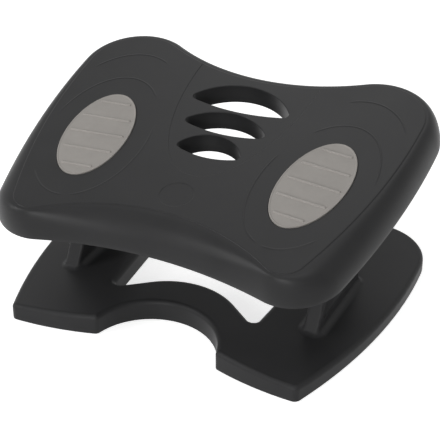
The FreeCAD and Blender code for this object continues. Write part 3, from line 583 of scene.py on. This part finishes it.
class Shell:
    """Collects grids and fills in platform millimetres and makes one welded mesh of them."""

    def __init__(self):
        self.points = []
        self.faces = []
        self.count = 0

    def add(self, points, faces):
        """Adds points, and faces that count from the first of them."""
        flat = points.reshape(-1, 3)
        self.points.append(flat)
        self.faces.extend((np.asarray(faces) + self.count).tolist())
        self.count += len(flat)

    def add_rows(self, rows):
        """Skins closed rows of points, one after the other."""
        self.add(rows, quads_between(rows.shape[0], rows.shape[1]))

    def add_cap(self, row):
        """Closes a row with smaller and smaller copies of it, and a fan to its middle."""
        middle = row.mean(0)
        shrunk = [middle + (row - middle) * part for part in CAP_SHARES]
        self.add_rows(np.stack(shrunk))
        count = len(row)
        places = np.arange(count)
        fan = np.stack([places, (places + 1) % count, np.full(count, count)], -1)
        self.add(np.concatenate([shrunk[-1], [middle]]), fan)

    def add_closed(self, rows):
        """Skins closed rows and caps both ends."""
        self.add_rows(rows)
        self.add_cap(rows[0])
        self.add_cap(rows[-1])

    def piece(self, name, sharp_degrees):
        """Tilts and welds what was added and puts it in the scene."""
        mesh = bpy.data.meshes.new(name)
        mesh.from_pydata(tilted(np.concatenate(self.points)), [], self.faces)
        work = bmesh.new()
        work.from_mesh(mesh)
        bmesh.ops.remove_doubles(work, verts=work.verts, dist=MERGE_DISTANCE)
        bmesh.ops.dissolve_degenerate(work, edges=work.edges, dist=DEGENERATE_EDGE)
        bmesh.ops.recalc_face_normals(work, faces=work.faces)
        work.to_mesh(mesh)
        work.free()
        made = new_piece(name, mesh, sharp_degrees)
        keep_flat(made, "FACE_AREA")
        return made


def skirt_curve(top_depth, inset, count):
    """Steps of the skirt's section, a quarter ellipse from its foot up to top_depth: how far it
    has rolled over, its inset and its height."""
    turns = np.radians(np.linspace(0, 90, count))
    rise = SKIRT_DEPTH - top_depth
    return [(1 - math.cos(turn), inset, rise * math.sin(turn) - SKIRT_DEPTH) for turn in turns]


shell = Shell()

# Outside of the skirt: the rounded foot of its wall, the quarter ellipse, then the step up to
# the top face. The rows near the top take on the relief of the top face.
#             moved inwards, height over the skirt's foot
WALL_FOOT = ((WALL, 0.0), (1.9, 0.0), (0.9, 0.0), (0.25, 0.25))
#                moved inwards, height
STEP_SECTION = ((0.8, -STEP_HEIGHT), (1.4, -0.84), (1.8, -0.62), (2.0, -0.36), (2.25, -0.12),
                (2.7, -0.02), (3.4, 0.0))
outer_section = [(0.0, inset, rise - SKIRT_DEPTH) for inset, rise in WALL_FOOT]
outer_section += skirt_curve(STEP_HEIGHT, 0.0, OUTER_CURVE_STEPS)[1:]
outer_section += [(1.0, inset, height) for inset, height in STEP_SECTION]
outer_rows = rows_of(lambda step: platform_outline(step[0], step[1]), outer_section)
near_top = outer_rows[..., 2] > -WALL
rolled = outer_rows[near_top]
outer_rows[near_top, 2] += top_relief(rolled[:, :2]) * np.clip(1 + rolled[:, 2] / WALL, 0, 1)
shell.add_rows(outer_rows)

# Inside of the skirt, up to the underside of the top.
inner_section = skirt_curve(WALL, WALL, INNER_CURVE_STEPS)
inner_rows = rows_of(lambda step: platform_outline(step[0], step[1]), inner_section)
shell.add_rows(inner_rows)

# Slots: a small round rim, the deep wall, and back up outside the wall to the underside.
SLOT_WALL = 2.2
RIM_ROWS = 5
#                moved outwards, height
SLOT_SECTION = ((1.1, 0.0), (0.75, -0.06), (0.35, -0.3), (0.1, -0.68), (0.0, -1.1), (-0.1, -8.0),
                (-0.25, -24.6), (0.1, -25.0), (1.8, -25.0), (SLOT_WALL, -24.6),
                (SLOT_WALL, -WALL), (1.3, -WALL))
for slot in SLOTS:
    rows = rows_of(lambda step: slot_outline(slot, step[0]), SLOT_SECTION)
    rows[:RIM_ROWS, :, 2] += top_relief(rows[0][:, :2])
    shell.add_rows(rows)

# Pockets for the pads, and the beds that carry them.
POCKET_POINTS = 120
POCKET_SECTION = ((1.0, 0.0), (0.6, -0.1), (0.35, -0.4), (0.3, -0.8), (0.3, -2.2))
BED_SECTION = ((3.0, -WALL), (3.0, -4.6), (2.6, -5.0))
for side in (-1, 1):
    for section in (POCKET_SECTION, BED_SECTION):
        rows = rows_of(lambda step: pad_outline(side, step[0], POCKET_POINTS), section)
        shell.add_rows(rows)
        shell.add_cap(rows[-1])

# The top face, with edges along its relief, and the flat underside.
top_edge = outer_rows[-1, :, :2]
relief_lines = []
for part in EDGE_LINES:
    for (centre, half_x, half_y), count in ((PETAL, PETAL_POINTS), (DISC, DISC_POINTS)):
        line = ellipse(centre, half_x + part * SUNK_EDGE, half_y + part * SUNK_EDGE, count)
        kept = inside(line, top_edge) & (from_outline(line, top_edge) > EDGE_CLEARANCE)
        relief_lines.extend(runs(line, kept))
for side in (-1, 1):
    for ring in RINGS:
        for part in RING_LINES:
            relief_lines.append(ring_line(side, ring, part * RING_HALF_WIDTH))
top_holes = [slot_outline(slot, SLOT_SECTION[0][0]) for slot in SLOTS]
top_holes += [pad_outline(side, POCKET_SECTION[0][0], POCKET_POINTS) for side in (-1, 1)]
plan, faces = flat_fill(top_edge, top_holes, relief_lines)
shell.add(np.column_stack([plan, top_relief(plan)]), faces)
under_holes = [slot_outline(slot, SLOT_SECTION[-1][0]) for slot in SLOTS]
under_holes += [pad_outline(side, BED_SECTION[0][0], POCKET_POINTS) for side in (-1, 1)]
plan, faces = flat_fill(inner_rows[-1, :, :2], under_holes, [])
shell.add(np.column_stack([plan, np.full(len(plan), -WALL)]), faces)

# Under the top: ribs that taper to a soft edge, and bosses for the brackets' screws. Each runs
# a little into the wall that it stands on.
CROSS_RIBS = (-88.0, -50.0, 120.0)
LONG_RIBS = (92.0, 200.0)
SUNK = 0.5
#               height, half thickness
RIB_SECTION = ((-2.7, 1.5), (-3.3, 1.3), (-4.2, 1.15), (-8.0, 1.05), (-14.4, 0.95), (-14.85, 0.75),
               (-15.0, 0.4))
#                radius, height
BOSS_SECTION = ((7.0, -2.7), (6.3, -3.1), (5.8, -3.7), (5.5, -4.6), (5.5, -7.7), (5.2, -8.0),
                (2.2, -8.0))
BOSS_POINTS = 36
UPRIGHT_X = 152.0
SCREW_PLACES = ((-19.5, -34.0), (-19.5, 34.0), (19.5, -34.0), (19.5, 34.0))


def crossings(outline, axis, value):
    """Where a closed outline crosses the line on which one coordinate has a value, in order."""
    near = outline[:, axis] - value
    after = np.roll(near, -1)
    cut = np.flatnonzero((near < 0) != (after < 0))
    share = near[cut] / (near[cut] - after[cut])
    other = outline[:, 1 - axis]
    return np.sort(other[cut] + share * (np.roll(other, -1)[cut] - other[cut]))


def skirt_inside(height):
    """Inner outline of the skirt at a height, from the quarter ellipse of its section."""
    rise = np.clip((height + SKIRT_DEPTH) / (SKIRT_DEPTH - WALL), 0, 1)
    return platform_outline(1 - math.cos(math.asin(rise)), WALL - SUNK)


def rib(axis, place, ends_at):
    """Closed tapering wall along X or Y, whose ends follow what it runs into at each height."""
    rows = []
    for height, half in RIB_SECTION:
        start, end = ends_at(height)
        along = np.array([start, end, end, start])
        across = place + np.array([-half, -half, half, half])
        plan = [across, along] if axis == 0 else [along, across]
        rows.append(np.stack([*plan, np.full(4, height)], -1))
    shell.add_rows(np.stack(rows))
    shell.add(rows[0], [(0, 1, 2, 3)])
    shell.add(rows[-1], [(3, 2, 1, 0)])


for y in CROSS_RIBS:
    crossed = [slot for slot in SLOTS if slot[0] < y < slot[1]]
    if crossed:
        gap = crossings(slot_outline(crossed[0], SLOT_WALL - SUNK), 1, y)
        rib(1, y, lambda height: (crossings(skirt_inside(height), 1, y)[0], gap[0]))
        rib(1, y, lambda height: (gap[1], crossings(skirt_inside(height), 1, y)[-1]))
    else:
        rib(1, y, lambda height: crossings(skirt_inside(height), 1, y)[[0, -1]])
for side in (-1, 1):
    for x in LONG_RIBS:
        rib(0, side * x, lambda height: crossings(skirt_inside(height), 0, side * x)[[0, -1]])
    for across, along in SCREW_PLACES:
        centre = (side * (UPRIGHT_X + across), PIVOT_BEHIND_PADS + along)
        shell.add_closed(rows_of(
            lambda step: ellipse(centre, step[0], step[0], BOSS_POINTS), BOSS_SECTION))

platform = shell.piece("platform_moulding", PLATFORM_SHARP_DEGREES)
charcoal_top = moulded_plastic("charcoal_platform_plastic", *CHARCOAL_TOP)
dress(platform, charcoal_top, "platform", "platform_plastic", "platform_shell")

# Foot pads: warm grey soft rubber mouldings with a raised lip and five round ribs. Four pegs
# under each pad go through the platform, and blued push-on clips hold them.

WARM_GREY = (0.315, 0.297, 0.278)
PAD_SHARP_DEGREES = 50.0
PAD_TOP = 0.8
PAD_POINTS = 160
RIB_PLACES = (-56.0, -28.0, 0.0, 28.0, 56.0)
RIB_RADIUS = 1.45
RIB_MARGIN = 7.0
RIB_END_STEPS = 12
PEG_RADIUS = 2.5
PEG_POINTS = 24
PEGS = ((-24.0, 44.0), (-24.0, -44.0), (14.0, -58.0), (27.0, -32.0))
#               moved outwards, height
PAD_SECTION = ((-1.2, -2.2), (-0.3, -2.2), (0.0, -1.9), (0.0, 0.75), (-0.12, 1.08), (-0.4, 1.26),
               (-0.85, 1.33), (-1.3, 1.25), (-1.65, 1.05), (-1.95, 0.87), (-2.5, PAD_TOP))
#            moved outwards, height over the pad's top
RIB_RISE = ((0.5, -0.02), (0.25, 0.06), (0.08, 0.3), (0.0, 0.65), (-0.15, 1.0), (-0.5, 1.28),
            (-0.95, 1.4), (-1.3, 1.43))
#               radius, height
PEG_SECTION = ((3.2, -2.0), (PEG_RADIUS, -2.6), (PEG_RADIUS, -7.6), (2.1, -8.0))


def capsule(half_length, middle_y, radius):
    """Outline of a round ended bar along X: two half circles joined by straight runs."""
    turn = np.radians(np.linspace(-90, 90, RIB_END_STEPS))
    right = np.stack([half_length + radius * np.cos(turn), middle_y + radius * np.sin(turn)], -1)
    left = np.stack([-half_length - radius * np.cos(turn), middle_y - radius * np.sin(turn)], -1)
    return np.concatenate([right, left])


warm_grey_rubber = moulded_rubber("warm_grey_rubber", WARM_GREY, roughness=0.62, dust=0.06)
for side, word in ((-1, "left"), (1, "right")):
    pad = Shell()
    pad.add_closed(rows_of(lambda step: pad_outline(side, step[0], PAD_POINTS), PAD_SECTION))
    for y in RIB_PLACES:
        half = PAD_HALF_WIDTH * math.sqrt(1 - (y / PAD_HALF_LENGTH) ** 2) - RIB_MARGIN
        rows = rows_of(
            lambda step: on_pad(side, capsule(half, y, RIB_RADIUS + step[0])), RIB_RISE)
        rows[..., 2] += PAD_TOP
        pad.add_closed(rows)
    for peg in PEGS:
        pad.add_closed(rows_of(
            lambda step: on_pad(side, ellipse(peg, step[0], step[0], PEG_POINTS)), PEG_SECTION))
    made = pad.piece("foot_pad_" + word, PAD_SHARP_DEGREES)
    dress(made, warm_grey_rubber, "platform", "pad_rubber", "massage_pad_" + word)
    clips = smoothed("pad_clips_" + word, "clips_" + word)
    dress(clips, blued, "platform", "spring_steel", "pad_clips_" + word)

# Studio: a pale paper sweep that looks white in the picture and still takes the shadow, four
# soft boxes and a plain white room.

WHITE = (1, 1, 1, 1)
PAPER = (0.8, 0.8, 0.8, 1)
PAPER_GLOW = 0.74
ROOM_LIGHT = 0.25
BACKDROP_LIGHT = 1.0
FLOOR_HALF = 6.0
LAMP_AIM = (0.0, 0.0, 0.1)


def shown_by_sight(tree, lighting, shown, output):
    """Mixes two shaders by the kind of ray: camera, glossy and transmission rays, which show a
    surface itself, get shown, and the rays that light the object get lighting."""
    path = tree.nodes.new("ShaderNodeLightPath")
    glossy = tree.nodes.new("ShaderNodeMath")
    glossy.operation = "MAXIMUM"
    tree.links.new(path.outputs["Is Camera Ray"], glossy.inputs[0])
    tree.links.new(path.outputs["Is Glossy Ray"], glossy.inputs[1])
    seen = tree.nodes.new("ShaderNodeMath")
    seen.operation = "MAXIMUM"
    tree.links.new(glossy.outputs[0], seen.inputs[0])
    tree.links.new(path.outputs["Is Transmission Ray"], seen.inputs[1])
    picked = tree.nodes.new("ShaderNodeMixShader")
    tree.links.new(seen.outputs[0], picked.inputs["Fac"])
    tree.links.new(lighting, picked.inputs[1])
    tree.links.new(shown, picked.inputs[2])
    tree.links.new(picked.outputs["Shader"], tree.nodes[output].inputs["Surface"])


floor_material = bpy.data.materials.new("paper_sweep")
floor_material.use_nodes = True
tree = floor_material.node_tree
paper = tree.nodes["Principled BSDF"]
paper.inputs["Base Color"].default_value = PAPER
paper.inputs["Roughness"].default_value = 0.9
paper.inputs["Specular IOR Level"].default_value = 0.1
glow = tree.nodes.new("ShaderNodeEmission")
glow.inputs["Color"].default_value = WHITE
glow.inputs["Strength"].default_value = PAPER_GLOW
both = tree.nodes.new("ShaderNodeAddShader")
tree.links.new(paper.outputs["BSDF"], both.inputs[0])
tree.links.new(glow.outputs["Emission"], both.inputs[1])
shown_by_sight(tree, paper.outputs["BSDF"], both.outputs["Shader"], "Material Output")

floor_mesh = bpy.data.meshes.new("floor")
corners = [(x * FLOOR_HALF, y * FLOOR_HALF, 0) for x, y in ((-1, -1), (1, -1), (1, 1), (-1, 1))]
floor_mesh.from_pydata(corners, [], [(0, 1, 2, 3)])
floor = bpy.data.objects.new("floor", floor_mesh)
floor.data.materials.append(floor_material)
bpy.context.scene.collection.objects.link(floor)

world = bpy.data.worlds.new("studio")
bpy.context.scene.world = world
world.use_nodes = True
tree = world.node_tree
room = tree.nodes["Background"]
room.inputs["Color"].default_value = WHITE
room.inputs["Strength"].default_value = ROOM_LIGHT
backdrop = tree.nodes.new("ShaderNodeBackground")
backdrop.inputs["Color"].default_value = WHITE
backdrop.inputs["Strength"].default_value = BACKDROP_LIGHT
shown_by_sight(tree, room.outputs["Background"], backdrop.outputs["Background"], "World Output")


def soft_box(name, place, width, height, power):
    """Large soft lamp that faces the middle of the object."""
    data = bpy.data.lights.new(name, "AREA")
    data.shape = "RECTANGLE"
    data.size = width
    data.size_y = height
    data.energy = power
    lamp = bpy.data.objects.new(name, data)
    lamp.location = place
    towards = Vector(LAMP_AIM) - Vector(place)
    lamp.rotation_euler = towards.to_track_quat("-Z", "Y").to_euler()
    bpy.context.scene.collection.objects.link(lamp)


soft_box("front_left", (-1.4, -1.1, 1.0), width=0.8, height=0.9, power=12)
soft_box("front", (0.2, -1.9, 0.7), width=1.0, height=0.6, power=14)
soft_box("overhead", (0.3, -0.2, 2.0), width=1.2, height=1.2, power=8)
soft_box("rear", (-0.45, 1.3, 1.7), width=1.0, height=0.8, power=3)

CAMERA_PLACE = (0.6377, -1.3051, 0.9791)
CAMERA_AIM = (0.0337, -0.0600, 0.1284)
camera_data = bpy.data.cameras.new("camera")
camera_data.sensor_width = 36.0
camera_data.sensor_height = 36.0
camera_data.sensor_fit = "HORIZONTAL"
camera_data.lens = 120.8
camera = bpy.data.objects.new("camera", camera_data)
camera.location = CAMERA_PLACE
aim = Vector(CAMERA_AIM) - camera.location
camera.rotation_euler = aim.to_track_quat("-Z", "Y").to_euler()
bpy.context.scene.collection.objects.link(camera)
bpy.context.scene.camera = camera

bpy.context.scene.view_settings.view_transform = "Standard"
